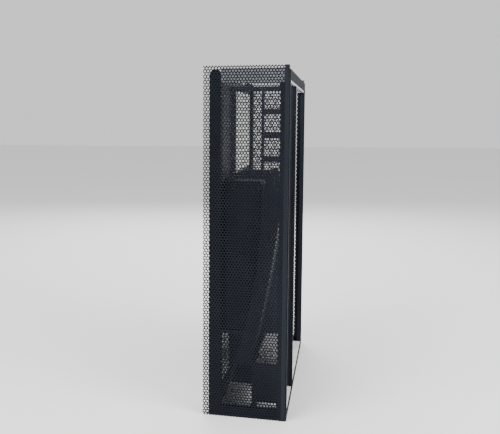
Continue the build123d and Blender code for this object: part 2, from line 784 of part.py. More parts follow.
with BuildPart() as flow_dial:
    rod("y", axis, dial_radius, (dial_front, dial_back))
    lever = (axis_z - dial_lever_width / 2, axis_z + dial_lever_width / 2)
    block((dial_radius - 1, dial_radius + dial_lever), (dial_front, dial_back), lever)
    rod("y", axis, dial_pin + dial_pin_play, (dial_front, dial_back), Mode.SUBTRACT)
    with Locations(Location((0, middle(dial_front, dial_back), axis_z), (90, 0, 0))):
        with PolarLocations(inlet_radius, inlet_count):
            Cylinder(inlet_hole, dial_thickness, mode=Mode.SUBTRACT)
save(flow_dial, "flow_dial")

with BuildPart() as suction_cups:
    with Locations((0, middle(motor_front, motor_back), 0)):
        with GridLocations(*cup_pitch, 2, 2):
            with Locations((0, 0, tray_thickness + cup_skirt / 2)):
                Cone(cup_radius, cup_top_radius, cup_skirt)
            with Locations((0, 0, middle(tray_thickness + cup_skirt, pump_low))):
                Cylinder(cup_stem, cup_height - cup_skirt)
save(suction_cups, "suction_cups")

# ---------------------------------------------------------------- outlet: adapter, hose, elbow and nozzle
hose_x = outlet_x
adapter_top = outlet_z + adapter_length
hose_low = outlet_z + hose_above_outlet
bend_z = nozzle_height - elbow_radius
elbow_low = bend_z - elbow_tail
hose_high = bend_z - hose_below_bend
pipe_end = wall_out - pipe_past_wall

with BuildPart() as outlet_adapter:
    rod("z", (hose_x, nozzle_y), hose_inner, (outlet_z, adapter_top))
    rod("z", (hose_x, nozzle_y), hose_inner + adapter_flange, (outlet_z, outlet_z + adapter_flange_height))
    rod("z", (hose_x, nozzle_y), hose_inner - pipe_wall, (outlet_z, adapter_top), Mode.SUBTRACT)
save(outlet_adapter, "outlet_adapter")

with BuildPart() as riser_hose:
    rod("z", (hose_x, nozzle_y), hose_inner + hose_wall, (hose_low, hose_high))
    rod("z", (hose_x, nozzle_y), hose_inner, (hose_low, hose_high), Mode.SUBTRACT)
save(riser_hose, "riser_hose")

with BuildPart() as hose_clips:
    hose_outer = hose_inner + hose_wall
    for clip_z in (hose_low + clip_from_low_end, hose_high - clip_from_high_end):
        clip = (clip_z, clip_z + clip_height)
        rod("z", (hose_x, nozzle_y), hose_outer + clip_thickness, clip)
        rod("z", (hose_x, nozzle_y), hose_outer, clip, Mode.SUBTRACT)
save(hose_clips, "hose_clips")

with BuildPart() as nozzle_elbow:
    with BuildLine() as run:
        start = (hose_x, nozzle_y, elbow_low)
        bend_in = (hose_x, nozzle_y, bend_z)
        bend_out = (hose_x - elbow_radius, nozzle_y, nozzle_height)
        Line(start, bend_in)
        slant = elbow_radius * math.sqrt(0.5)
        bend_middle = (bend_out[0] + slant, nozzle_y, bend_z + slant)
        ThreePointArc(bend_in, bend_middle, bend_out)
        Line(bend_out, (pipe_end, nozzle_y, nozzle_height))
    with BuildSketch(Plane(origin=start, z_dir=(0, 0, 1))):
        Circle(hose_inner)
        Circle(hose_inner - pipe_wall, mode=Mode.SUBTRACT)
    sweep(path=run.wires()[0])
save(nozzle_elbow, "nozzle_elbow")

pipe_line = (nozzle_y, nozzle_height)
flange_radius = grommet_radius + grommet_flange
grommet_span = (wall_out - grommet_lip, wall_in + grommet_lip)

with BuildPart() as wall_grommet:
    rod("x", pipe_line, grommet_radius, grommet_span)
    rod("x", pipe_line, flange_radius, (grommet_span[0], wall_out))
    rod("x", pipe_line, flange_radius, (wall_in, grommet_span[1]))
    rod("x", pipe_line, hose_inner, grommet_span, Mode.SUBTRACT)
save(wall_grommet, "wall_grommet")

with BuildPart() as lock_collar:
    collar = (grommet_span[1], grommet_span[1] + collar_length)
    rod("x", pipe_line, flange_radius - 0.5, collar)
    rod("x", pipe_line, hose_inner, collar, Mode.SUBTRACT)
save(lock_collar, "lock_collar")

ball_x = pipe_end - ball_radius - ball_gap
swivel_start = grommet_span[0] - swivel_gap
swivel_end = ball_x - swivel_past_ball

with BuildPart() as nozzle_swivel:
    rod("x", pipe_line, swivel_radius, (swivel_end, swivel_start))
    rod("x", pipe_line, hose_inner + pin_clearance, (pipe_end - ball_gap, swivel_start), Mode.SUBTRACT)
    rod("x", pipe_line, hose_inner - swivel_shoulder, (ball_x, pipe_end), Mode.SUBTRACT)
    with Locations(Location((ball_x, *pipe_line), (0, 90, 0))):
        Sphere(ball_radius + ball_clearance, mode=Mode.SUBTRACT)
    ribs = (swivel_end + rib_from_end, swivel_start - rib_from_end)
    for rib in range(rib_count):
        around = 2 * math.pi * rib / rib_count
        rib_y = nozzle_y + swivel_radius * math.cos(around)
        rib_z = nozzle_height + swivel_radius * math.sin(around)
        rod("x", (rib_y, rib_z), rib_radius, ribs)
save(nozzle_swivel, "nozzle_swivel")

with BuildPart() as nozzle_tip:
    with Locations(Location((ball_x, *pipe_line), (0, 90, 0))):
        Sphere(ball_radius)
    rod("x", pipe_line, spout_radius, (ball_x - spout_length, ball_x))
    rod("x", pipe_line, spout_bore, (ball_x - spout_length, ball_x + ball_radius), Mode.SUBTRACT)
save(nozzle_tip, "nozzle_tip")
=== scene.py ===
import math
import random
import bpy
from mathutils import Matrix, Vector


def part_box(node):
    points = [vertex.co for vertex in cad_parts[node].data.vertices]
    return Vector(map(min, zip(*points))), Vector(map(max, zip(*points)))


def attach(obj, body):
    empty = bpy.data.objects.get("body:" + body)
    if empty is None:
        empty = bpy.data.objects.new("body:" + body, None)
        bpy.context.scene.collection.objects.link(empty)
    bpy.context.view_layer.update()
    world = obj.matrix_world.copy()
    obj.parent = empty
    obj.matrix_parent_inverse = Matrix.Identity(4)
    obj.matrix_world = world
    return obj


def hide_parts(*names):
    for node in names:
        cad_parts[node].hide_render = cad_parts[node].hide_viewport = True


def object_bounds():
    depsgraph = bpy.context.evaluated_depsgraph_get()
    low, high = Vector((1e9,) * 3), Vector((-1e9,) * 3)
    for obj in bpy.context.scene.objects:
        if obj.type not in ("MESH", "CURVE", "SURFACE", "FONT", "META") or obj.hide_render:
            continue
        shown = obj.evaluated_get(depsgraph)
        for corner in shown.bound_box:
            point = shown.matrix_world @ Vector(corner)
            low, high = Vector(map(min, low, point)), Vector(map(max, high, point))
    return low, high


bl_info = {
    "name": "Internal Power Filter",
    "version": (1, 0, 0),
    "blender": (4, 5, 0),
    "location": "View3D > Sidebar > Filter",
    "description": "Builds the looks of a desktop aquarium's internal power filter around its fixed frame",
    "category": "Object",
}

import bmesh
import bpy
from bpy.props import FloatProperty, FloatVectorProperty, IntProperty, PointerProperty
from mathutils import Matrix, Vector, noise

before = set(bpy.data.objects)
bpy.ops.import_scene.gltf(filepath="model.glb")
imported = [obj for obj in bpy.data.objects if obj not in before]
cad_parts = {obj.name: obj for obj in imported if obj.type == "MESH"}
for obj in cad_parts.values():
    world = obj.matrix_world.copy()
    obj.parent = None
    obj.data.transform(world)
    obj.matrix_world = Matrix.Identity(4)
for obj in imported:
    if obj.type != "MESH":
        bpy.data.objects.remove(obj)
cad_low, cad_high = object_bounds()
MM = 0.001
COOL = (0.72, 0.85, 1.0, 1.0)   # bluish sheen of the black plastics and rubbers


# ---------------------------------------------------------------- sizes and colours a user would change
class ScreenSettings(bpy.types.PropertyGroup):
    """Perforated sheet of the two screens."""

    pitch: FloatProperty(
        name="Hole pitch", description="Distance between neighbouring holes in a row",
        default=2.27 * MM, min=1.2 * MM, unit="LENGTH", precision=5,
    )
    across: FloatProperty(
        name="Hole across flats", description="Width of one six-sided hole",
        default=1.58 * MM, min=0.4 * MM, unit="LENGTH", precision=5,
    )
    colour: FloatVectorProperty(
        name="Coating", description="Colour of the powder coat", subtype="COLOR", size=3,
        min=0, max=1, default=(0.006, 0.0068, 0.0095),
    )


class HousingSettings(bpy.types.PropertyGroup):
    """Walls, rails and seals."""

    plastic: FloatVectorProperty(
        name="Plastic", description="Colour of the moulded walls", subtype="COLOR", size=3,
        min=0, max=1, default=(0.0075, 0.0085, 0.012),
    )
    rubber: FloatVectorProperty(
        name="Rubber", description="Colour of the seals", subtype="COLOR", size=3,
        min=0, max=1, default=(0.005, 0.0055, 0.0075),
    )
    rail: FloatVectorProperty(
        name="Rails", description="Colour of the rails' coating", subtype="COLOR", size=3,
        min=0, max=1, default=(0.006, 0.0066, 0.0095),
    )
    frame_tint: FloatVectorProperty(
        name="Top frame", description="Colour of the smoke tinted top frame", subtype="COLOR", size=3,
        min=0, max=1, default=(0.30, 0.305, 0.33),
    )
    grille_tint: FloatVectorProperty(
        name="Lower grille", description="Colour of the natural plastic intake grille", subtype="COLOR",
        size=3, min=0, max=1, default=(0.86, 0.87, 0.85),
    )
    # The skimmer grille is the lower grille's natural plastic in a much darker grey.
    skimmer_tint: FloatVectorProperty(
        name="Skimmer grille", description="Colour of the darker grey skimmer grille", subtype="COLOR", size=3,
        min=0, max=1, default=(0.40, 0.41, 0.39),
    )
    tray_tint: FloatVectorProperty(
        name="Tray", description="Colour of the natural plastic tray", subtype="COLOR", size=3,
        min=0, max=1, default=(0.88, 0.89, 0.88),
    )


class MediaSettings(bpy.types.PropertyGroup):
    """Foam, carbon and ceramic media."""

    foam_colour: FloatVectorProperty(
        name="Foam", description="Colour of the open cell foam", subtype="COLOR", size=3,
        min=0, max=1, default=(0.009, 0.0098, 0.014),
    )
    foam_cell: FloatProperty(
        name="Foam cell", description="Size of the foam's open cells",
        default=1.3 * MM, min=0.4 * MM, unit="LENGTH", precision=5,
    )
    foam_grid: FloatProperty(
        name="Foam grid", description="Mesh size of the foam's surface",
        default=0.8 * MM, min=0.5 * MM, unit="LENGTH", precision=5,
    )
    net_mesh: FloatProperty(
        name="Net mesh", description="Opening of the media bags' net",
        default=1.3 * MM, min=0.8 * MM, unit="LENGTH", precision=5,
    )
    net_thread: FloatProperty(
        name="Net thread", description="Thickness of the net's thread",
        default=0.36 * MM, min=0.1 * MM, unit="LENGTH", precision=5,
    )
    ring_across: FloatProperty(
        name="Ceramic ring", description="Outside diameter of one ceramic ring",
        default=3.7 * MM, min=2 * MM, unit="LENGTH", precision=5,
    )
    seed: IntProperty(name="Seed", description="Start of the random placing of rings", default=7)


class PumpSettings(bpy.types.PropertyGroup):
    """Pump, hose and nozzle."""

    shell: FloatVectorProperty(
        name="Shell", description="Colour of the pump's plastic shell", subtype="COLOR", size=3,
        min=0, max=1, default=(0.014, 0.015, 0.018),
    )
    rib_pitch: FloatProperty(
        name="Hose rib pitch", description="Distance between the riser hose's ribs",
        default=3.0 * MM, min=1.5 * MM, unit="LENGTH", precision=5,
    )
    rib_height: FloatProperty(
        name="Hose rib height", description="Height of one rib of the riser hose",
        default=0.9 * MM, min=0, unit="LENGTH", precision=5,
    )


class StageSettings(bpy.types.PropertyGroup):
    """Floor, lights and camera."""

    lens: FloatProperty(name="Lens", description="Focal length", default=49.0, min=10, unit="CAMERA")
    turn: FloatProperty(
        name="Turn", description="How far the camera is turned to the left of straight ahead",
        default=math.radians(12.5), subtype="ANGLE",
    )
    tilt: FloatProperty(
        name="Tilt", description="How far the camera looks down", default=math.radians(5.5), subtype="ANGLE",
    )
    floor_tint: FloatVectorProperty(
        name="Floor", description="Colour of the floor", subtype="COLOR", size=3,
        min=0, max=1, default=(0.86, 0.86, 0.855),
    )


# ---------------------------------------------------------------- mesh helpers
def mesh_object(name, points, faces, smooth=False):
    """New mesh object from points in metres and faces of point numbers."""
    mesh = bpy.data.meshes.new(name)
    mesh.from_pydata(points, [], faces)
    mesh.validate()
    mesh.polygons.foreach_set("use_smooth", [smooth] * len(mesh.polygons))
    piece = bpy.data.objects.new(name, mesh)
    bpy.context.scene.collection.objects.link(piece)
    return piece


def applied(piece):
    """Bakes the piece's modifiers into its mesh."""
    graph = bpy.context.evaluated_depsgraph_get()
    mesh = bpy.data.meshes.new_from_object(piece.evaluated_get(graph))
    piece.modifiers.clear()
    piece.data = mesh
    return piece


def lathe(name, profile, centre, segments, closed=True):
    """Upright turned piece: profile is a list of (radius, height above the centre) in metres."""
    points, faces = [], []
    count = len(profile)
    for step in range(segments):
        angle = 2 * math.pi * step / segments
        for radius, rise in profile:
            x, y = radius * math.cos(angle), radius * math.sin(angle)
            points.append((centre[0] + x, centre[1] + y, centre[2] + rise))
    last = count if closed else count - 1
    for step in range(segments):
        for k in range(last):
            a, b = step * count + k, step * count + (k + 1) % count
            c, d = (step + 1) % segments * count + (k + 1) % count, (step + 1) % segments * count + k
            faces.append((a, d, c, b))
    piece = mesh_object(name, points, faces, smooth=True)
    tidy_normals(piece)
    return piece


def tidy_normals(piece, merge=True):
    """Makes all faces point outwards, and can merge points that meet first."""
    bm = bmesh.new()
    bm.from_mesh(piece.data)
    if merge:
        bmesh.ops.remove_doubles(bm, verts=bm.verts, dist=0.005 * MM)
    bmesh.ops.recalc_face_normals(bm, faces=bm.faces)
    bm.to_mesh(piece.data)
    bm.free()


def smooth_shaded(piece):
    """Smooth shading on every face."""
    piece.data.polygons.foreach_set("use_smooth", [True] * len(piece.data.polygons))


def softened(piece, rounds):
    """Rounds the piece's edges by averaging its points."""
    smooth = piece.modifiers.new("soft", "SMOOTH")
    smooth.iterations = rounds
    return applied(piece)


def join(name, pieces):
    """One object from several."""
    bm = bmesh.new()
    for piece in pieces:
        bm.from_mesh(piece.data)
        bpy.data.objects.remove(piece)
    mesh = bpy.data.meshes.new(name)
    bm.to_mesh(mesh)
    bm.free()
    whole = bpy.data.objects.new(name, mesh)
    bpy.context.scene.collection.objects.link(whole)
    return whole


def clothed_copy(name, node, voxel, shrink):
    """Copy of a CAD node as an even quad mesh, drawn in by shrink on every side."""
    piece = bpy.data.objects.new(name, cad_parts[node].data.copy())
    bpy.context.scene.collection.objects.link(piece)
    piece.data.materials.clear()
    low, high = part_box(node)
    middle = (low + high) / 2
    for vert in piece.data.vertices:
        for k in range(3):
            half = (high[k] - low[k]) / 2
            vert.co[k] = middle[k] + (vert.co[k] - middle[k]) * (half - shrink) / half
    remesh = piece.modifiers.new("even", "REMESH")
    remesh.mode = "VOXEL"
    remesh.voxel_size = voxel
    return applied(piece)


def finish_piece(piece, material, slot, body, *replaced):
    """Gives a piece its material and body, and hides the CAD nodes it stands for; the slot argument is not
    used.
    """
    piece.data.materials.clear()
    piece.data.materials.append(material)
    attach(piece, body)
    if replaced:
        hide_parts(*replaced)


def dress(material, *names):
    """Gives CAD nodes a material, through their own slots."""
    for name in names:
        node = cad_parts[name]
        if not node.material_slots:
            node.data.materials.append(material)
        for place in node.material_slots:
            place.material = material


# ---------------------------------------------------------------- material helpers
class Recipe:
    """A node material under construction, with a few short ways to add nodes."""

    def __init__(self, name, **sockets):
        self.material = bpy.data.materials.new(name)
        self.material.use_nodes = True
        self.tree = self.material.node_tree
        self.shader = self.tree.nodes["Principled BSDF"]
        for socket, value in sockets.items():
            self.shader.inputs[socket.replace("_", " ")].default_value = value
        self.place = self.node("ShaderNodeTexCoord").outputs["Object"]
        self.height = None

    def node(self, kind, **settings):
        made = self.tree.nodes.new(kind)
        for key, value in settings.items():
            setattr(made, key, value)
        return made

    def link(self, start, end):
        self.tree.links.new(start, end)

    def noise(self, size, detail=3.0, rough=0.55, stretch=None):
        """Noise whose features are about size metres across."""
        made = self.node("ShaderNodeTexNoise")
        made.inputs["Scale"].default_value = 1 / size
        made.inputs["Detail"].default_value = detail
        made.inputs["Roughness"].default_value = rough
        self.link(self.stretched(stretch), made.inputs["Vector"])
        return made.outputs["Fac"]

    def cells(self, size):
        """Distance within round cells about size metres across."""
        made = self.node("ShaderNodeTexVoronoi")
        made.inputs["Scale"].default_value = 1 / size
        self.link(self.place, made.inputs["Vector"])
        return made.outputs["Distance"]

    def wave(self, size, direction, distortion=0.0):
        """Lines size metres apart."""
        made = self.node("ShaderNodeTexWave", bands_direction=direction)
        made.inputs["Scale"].default_value = 0.314 / size
        made.inputs["Distortion"].default_value = distortion
        self.link(self.place, made.inputs["Vector"])
        return made.outputs["Fac"]

    def stretched(self, stretch):
        if stretch is None:
            return self.place
        made = self.node("ShaderNodeMapping")
        made.inputs["Scale"].default_value = stretch
        self.link(self.place, made.inputs["Vector"])
        return made.outputs["Vector"]

    def spread(self, value, low, high, start=0.3, stop=0.7):
        """Maps start..stop of a value to low..high."""
        made = self.node("ShaderNodeMapRange")
        for socket, number in (("From Min", start), ("From Max", stop), ("To Min", low), ("To Max", high)):
            made.inputs[socket].default_value = number
        self.link(value, made.inputs["Value"])
        return made.outputs["Result"]

    def blend(self, value, first, second, start=0.3, stop=0.7):
        """Colour that goes from first to second as the value rises."""
        ramp = self.node("ShaderNodeValToRGB")
        ramp.color_ramp.elements[0].position = start
        ramp.color_ramp.elements[0].color = (*first, 1)
        ramp.color_ramp.elements[1].position = stop
        ramp.color_ramp.elements[1].color = (*second, 1)
        self.link(value, ramp.inputs["Fac"])
        return ramp.outputs["Color"]

    def multiply(self, first, second):
        made = self.node("ShaderNodeMix", data_type="RGBA", blend_type="MULTIPLY")
        made.inputs["Factor"].default_value = 1.0
        self.link(first, made.inputs["A"])
        self.link(second, made.inputs["B"])
        return made.outputs["Result"]

    def colour(self, socket):
        self.link(socket, self.shader.inputs["Base Color"])
        return self

    def rough(self, socket):
        self.link(socket, self.shader.inputs["Roughness"])
        return self

    def raise_by(self, socket, distance, strength=1.0):
        """Adds a bump of that many metres."""
        bump = self.node("ShaderNodeBump")
        bump.inputs["Strength"].default_value = strength
        bump.inputs["Distance"].default_value = distance
        self.link(socket, bump.inputs["Height"])
        if self.height is not None:
            self.link(self.height, bump.inputs["Normal"])
        self.height = bump.outputs["Normal"]
        self.link(self.height, self.shader.inputs["Normal"])
        return self

    def rounded_edges(self, radius):
        """Softens the look of sharp edges, under any bump."""
        bevel = self.node("ShaderNodeBevel", samples=4)
        bevel.inputs["Radius"].default_value = radius
        self.height = bevel.outputs["Normal"]
        self.link(self.height, self.shader.inputs["Normal"])
        return self


def shade(colour, k):
    """Lighter or darker version of a colour."""
    return tuple(min(1.0, c * k) for c in colour)


def moulded(name, colour, roughness=0.42, grain=0.35, edge=0.35, spread=0.1):
    """Satin moulded plastic with fine grain, slow waviness and water marks."""
    made = Recipe(name, IOR=1.48, Specular_IOR_Level=0.27, Specular_Tint=COOL)
    if edge:
        made.rounded_edges(edge * MM)
    marks = made.noise(18 * MM, 5, 0.62)
    tone = made.blend(marks, shade(colour, 0.86), shade(colour, 1.25), 0.3, 0.75)
    fine = made.noise(0.9 * MM, 2)
    made.colour(made.multiply(tone, made.blend(fine, (0.82,) * 3, (1, 1, 1), 0.35, 0.6)))
    made.rough(made.spread(made.noise(6 * MM, 6, 0.7), roughness - spread, roughness + spread, 0.3, 0.7))
    made.raise_by(made.noise(grain * MM, 2), 0.03 * MM, 0.5)
    made.raise_by(made.noise(9 * MM, 1), 0.05 * MM, 0.25)
    return made.material


def rubber(name, colour, roughness=0.68):
    """Matt extruded rubber with a dusty bloom."""
    made = Recipe(name, IOR=1.5, Specular_IOR_Level=0.12, Specular_Tint=COOL)
    made.rounded_edges(0.5 * MM)
    bloom = made.noise(7 * MM, 6, 0.7, (1, 1, 0.25))
    made.colour(made.blend(bloom, shade(colour, 0.85), shade(colour, 2.0), 0.42, 0.8))
    made.rough(made.spread(bloom, roughness - 0.1, roughness + 0.12))
    made.raise_by(made.noise(0.5 * MM, 3, 0.6), 0.04 * MM, 0.5)
    made.raise_by(made.noise(1.6 * MM, 1, 0.5, (1, 1, 0.05)), 0.03 * MM, 0.4)
    return made.material


def powder_coat(name, colour):
    """Powder coated sheet: orange peel, small glossy variation."""
    made = Recipe(name, IOR=1.5, Specular_IOR_Level=0.15, Specular_Tint=COOL)
    made.colour(made.blend(made.noise(14 * MM, 4), shade(colour, 0.85), shade(colour, 1.3)))
    made.rough(made.spread(made.noise(3 * MM, 4), 0.3, 0.5))
    made.raise_by(made.noise(0.7 * MM, 2), 0.03 * MM, 0.5)
    return made.material


def satin_metal(name, colour, roughness=0.38, metal=0.0):
    """Satin coated drawn profile: fine lines along its length."""
    level = 0.5 if metal else 0.22
    made = Recipe(name, IOR=1.5, Metallic=metal, Specular_IOR_Level=level, Specular_Tint=COOL)
    made.rounded_edges(0.3 * MM)
    lines = made.noise(0.35 * MM, 3, 0.6, (1, 1, 0.012))
    made.colour(made.blend(lines, shade(colour, 0.75), shade(colour, 1.3)))
    made.rough(made.spread(lines, roughness - 0.08, roughness + 0.1))
    made.raise_by(lines, 0.02 * MM, 0.4)
    return made.material


def open_foam(name, colour, cell):
    """Open cell foam: painted shade darkens its pores between lighter strands."""
    made = Recipe(name, Sheen_Weight=0.12, Specular_IOR_Level=0.25)
    pores = made.cells(cell)
    small = made.cells(cell * 0.45)
    # Painted shade in the pores: darker towards the middle of each pore and of each smaller cell.
    tone = made.blend(pores, shade(colour, 0.25), shade(colour, 1.9), 0.15, 0.62)
    tone = made.multiply(tone, made.blend(small, (0.5,) * 3, (1, 1, 1), 0.1, 0.5))
    made.colour(made.multiply(tone, made.blend(made.noise(22 * MM, 3), (0.75,) * 3, (1, 1, 1))))
    made.rough(made.spread(pores, 0.8, 0.97))
    made.raise_by(pores, 0.5 * MM, 0.9)
    made.raise_by(small, 0.2 * MM, 0.6)
    return made.material


def thread(name, colour):
    """Nylon thread of a net."""
    made = Recipe(name, Sheen_Weight=0.2)
    made.colour(made.blend(made.noise(5 * MM, 4), shade(colour, 0.75), shade(colour, 1.1)))
    made.rough(made.spread(made.noise(0.8 * MM, 2), 0.45, 0.7))
    made.raise_by(made.noise(0.12 * MM, 2), 0.02 * MM, 0.6)
    return made.material


def granules(name, colour, size):
    """Loose granules pressed against a net, with a painted highlight on each granule and painted shade
    between them.
    """
    made = Recipe(name, IOR=1.45)
    grains = made.cells(size)
    # Painted light and shade: lighter on each granule's top, darker in the gaps between granules.
    made.colour(made.blend(grains, shade(colour, 1.6), shade(colour, 0.35), 0.1, 0.7))
    made.rough(made.spread(made.noise(size, 2), 0.35, 0.7))
    made.raise_by(grains, -0.6 * MM, 0.9)
    return made.material


def fired_clay(name, colour):
    """Porous unglazed ceramic, with painted shade in its pits."""
    made = Recipe(name, Subsurface_Radius=(1, 1, 1), Subsurface_Weight=0.05, Subsurface_Scale=0.5 * MM)
    pits = made.cells(0.5 * MM)
    stain = made.noise(6 * MM, 5, 0.65)
    tone = made.blend(stain, shade(colour, 0.72), colour, 0.3, 0.62)
    # Painted shade: darker in the pits.
    made.colour(made.multiply(tone, made.blend(pits, (0.55, 0.52, 0.48), (1, 1, 1), 0.05, 0.35)))
    made.rough(made.spread(pits, 0.95, 0.75))
    made.raise_by(pits, 0.08 * MM, 0.8)
    return made.material


def milky(name, colour):
    """Natural translucent plastic with a film of fine silt."""
    made = Recipe(name, Subsurface_Weight=0.15, Subsurface_Scale=1 * MM, Subsurface_Radius=(1, 1, 1))
    made.rounded_edges(0.4 * MM)
    silt = made.noise(9 * MM, 6, 0.7)
    made.colour(made.blend(silt, colour, shade(colour, 0.72), 0.45, 0.75))
    made.rough(made.spread(silt, 0.3, 0.6))
    made.raise_by(made.noise(1.2 * MM, 3), 0.03 * MM, 0.4)
    return made.material


def lined(name, first, second, size, direction, metal=0.6, roughness=0.35):
    """Wound wire or stacked sheets: lines size metres apart."""
    made = Recipe(name, Metallic=metal)
    lines = made.wave(size, direction, 0.3)
    made.colour(made.blend(lines, first, second, 0.1, 0.8))
    made.rough(made.spread(lines, roughness + 0.15, roughness))
    made.raise_by(lines, size * 0.4, 0.8)
    return made.material


# ---------------------------------------------------------------- perforated screens
def hole_lattice(width, height, pitch, across):
    """Flat honeycomb over width by height: its points, and the outer and hole corners of each cell."""
    row = pitch * math.sqrt(3) / 2
    cell_reach, hole_reach = pitch / math.sqrt(3), across / math.sqrt(3)
    corners = [math.radians(30 + 60 * k) for k in range(6)]
    points, index, rings = [], {}, []
    for r in range(-1, int(height / row) + 3):
        for c in range(-1, int(width / pitch) + 3):
            x = (c + (r % 2) * 0.5 + 0.06) * pitch
            z = (r + 0.31) * row
            outer = []
            for angle in corners:
                spot = (x + cell_reach * math.cos(angle), z + cell_reach * math.sin(angle))
                key = (round(spot[0] * 1e6), round(spot[1] * 1e6))
                around = ((key[0] + i, key[1] + j) for i in (-1, 0, 1) for j in (-1, 0, 1))
                near = [index[k] for k in around if k in index]
                if near:
                    outer.append(near[0])
                else:
                    index[key] = len(points)
                    outer.append(len(points))
                    points.append(spot)
            inner = []
            for angle in corners:
                inner.append(len(points))
                points.append((x + hole_reach * math.cos(angle), z + hole_reach * math.sin(angle)))
            rings.append((outer, inner))
    return points, rings


def perforated_sheet(name, node, settings):
    """Sheet with real six-sided holes, cut off straight through them at its edges like the CAD sheet."""
    low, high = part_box(node)
    size = high - low
    thin = min(range(3), key=lambda k: size[k])
    along = 1 - thin
    flat, rings = hole_lattice(size[along], size[2], settings.pitch, settings.across)
    count = len(flat)
    points = []
    for depth in (low[thin], high[thin]):
        for u, v in flat:
            spot = [0.0, 0.0, low[2] + v]
            spot[along] = low[along] + u
            spot[thin] = depth
            points.append(spot)
    faces = []
    for outer, inner in rings:
        for k in range(6):
            n = (k + 1) % 6
            faces.append((outer[k], outer[n], inner[n], inner[k]))
            faces.append((count + outer[n], count + outer[k], count + inner[k], count + inner[n]))
            faces.append((inner[k], inner[n], count + inner[n], count + inner[k]))
    piece = mesh_object(name, points, faces)
    bm = bmesh.new()
    bm.from_mesh(piece.data)
    for axis in (along, 2):
        for edge, sign in ((low, -1), (high, 1)):
            normal = Vector((0, 0, 0))
            normal[axis] = sign
            geometry = list(bm.verts) + list(bm.edges) + list(bm.faces)
            cut = bmesh.ops.bisect_plane(
                bm, geom=geometry, plane_co=edge, plane_no=normal, clear_outer=True, dist=1e-7,
            )
            rim = [e for e in cut["geom_cut"] if isinstance(e, bmesh.types.BMEdge) and e.is_boundary]
            bmesh.ops.edgeloop_fill(bm, edges=rim)
    bmesh.ops.recalc_face_normals(bm, faces=bm.faces)
    bm.to_mesh(piece.data)
    bm.free()
    return piece


class FILTER_OT_screens(bpy.types.Operator):
    """Punch the front and rear screens"""

    bl_idname = "filter_kit.screens"
    bl_label = "Perforated screens"

    def execute(self, context):
        settings = context.scene.filter_screens
        coat = powder_coat("black_powder_coat", settings.colour)
        for node in ("front_screen", "rear_screen"):
            sheet = perforated_sheet(node + "_punched", node, settings)
            finish_piece(sheet, coat, "coated_sheet", "housing", node)
        return {"FINISHED"}


# ---------------------------------------------------------------- housing
class FILTER_OT_housing(bpy.types.Operator):
    """Finish the walls, rails, frame, tray and seals"""

    bl_idname = "filter_kit.housing"
    bl_label = "Housing"

    def execute(self, context):
        settings = context.scene.filter_housing
        dress(moulded("wall_plastic", settings.plastic, 0.45), "partition_wall", "baffle", "media_stand")
        dress(milky("grille_plastic", settings.grille_tint), "lower_intake_grille")
        dress(milky("skimmer_plastic", settings.skimmer_tint), "skimmer_grille")
        seals = ("front_edge_seal", "rear_edge_seal", "bottom_seal", "side_seal", "baffle_seal")
        dress(rubber("seal_rubber", settings.rubber), *seals)
        dress(satin_metal("rail_coating", settings.rail), "front_rail", "rear_rail")
        dress(moulded("smoke_frame", settings.frame_tint, 0.25, spread=0.08), "top_frame")
        dress(milky("tray_plastic", settings.tray_tint), "floor_tray")
        return {"FINISHED"}


# ---------------------------------------------------------------- media
def rough_surface(piece, cell, depth):
    """Sinks small pores into a foam surface. Nothing moves outwards."""
    piece.data.update()
    normals = [vert.normal.copy() for vert in piece.data.vertices]
    for vert, normal in zip(piece.data.vertices, normals):
        place = vert.co / cell
        near = noise.voronoi(place)[0][0]
        slow = noise.noise(vert.co / (14 * MM))
        vert.co -= normal * depth * (0.55 * (1 - min(1.0, near)) + 0.3 * (0.5 + 0.5 * slow))


FOAM_PORE_DEPTH = 0.9 * MM
CARBON_GRID = 1.1 * MM
CARBON_GRAIN = 1.7 * MM
CARBON_DIMPLE = 1.8 * MM        # distance between the dimples that the granules press
CARBON_DIMPLE_DEPTH = 0.8 * MM


class FILTER_OT_foam(bpy.types.Operator):
    """Grow the open cell foam block"""

    bl_idname = "filter_kit.foam"
    bl_label = "Foam block"

    def execute(self, context):
        settings = context.scene.filter_media
        grid = settings.foam_grid
        foam = clothed_copy("foam_open_cell", "foam_block", grid, 0.1 * MM)
        softened(foam, 3)
        rough_surface(foam, settings.foam_cell, FOAM_PORE_DEPTH)
        smooth_shaded(foam)
        material = open_foam("black_foam", settings.foam_colour, settings.foam_cell)
        finish_piece(foam, material, "open_cell_foam", "carrier", "foam_block")
        return {"FINISHED"}


CLOTH_SCALE = 20.0
CLOTH_FRAMES = 16
CLOTH_PRESSURE = 4.0
BAG_SHRINK = 0.4 * MM           # bag's start inside its CAD solid
BAG_SWELL = 2.0 * MM            # furthest that a point of the bag may move
NET_TO_RINGS = 0.7 * MM


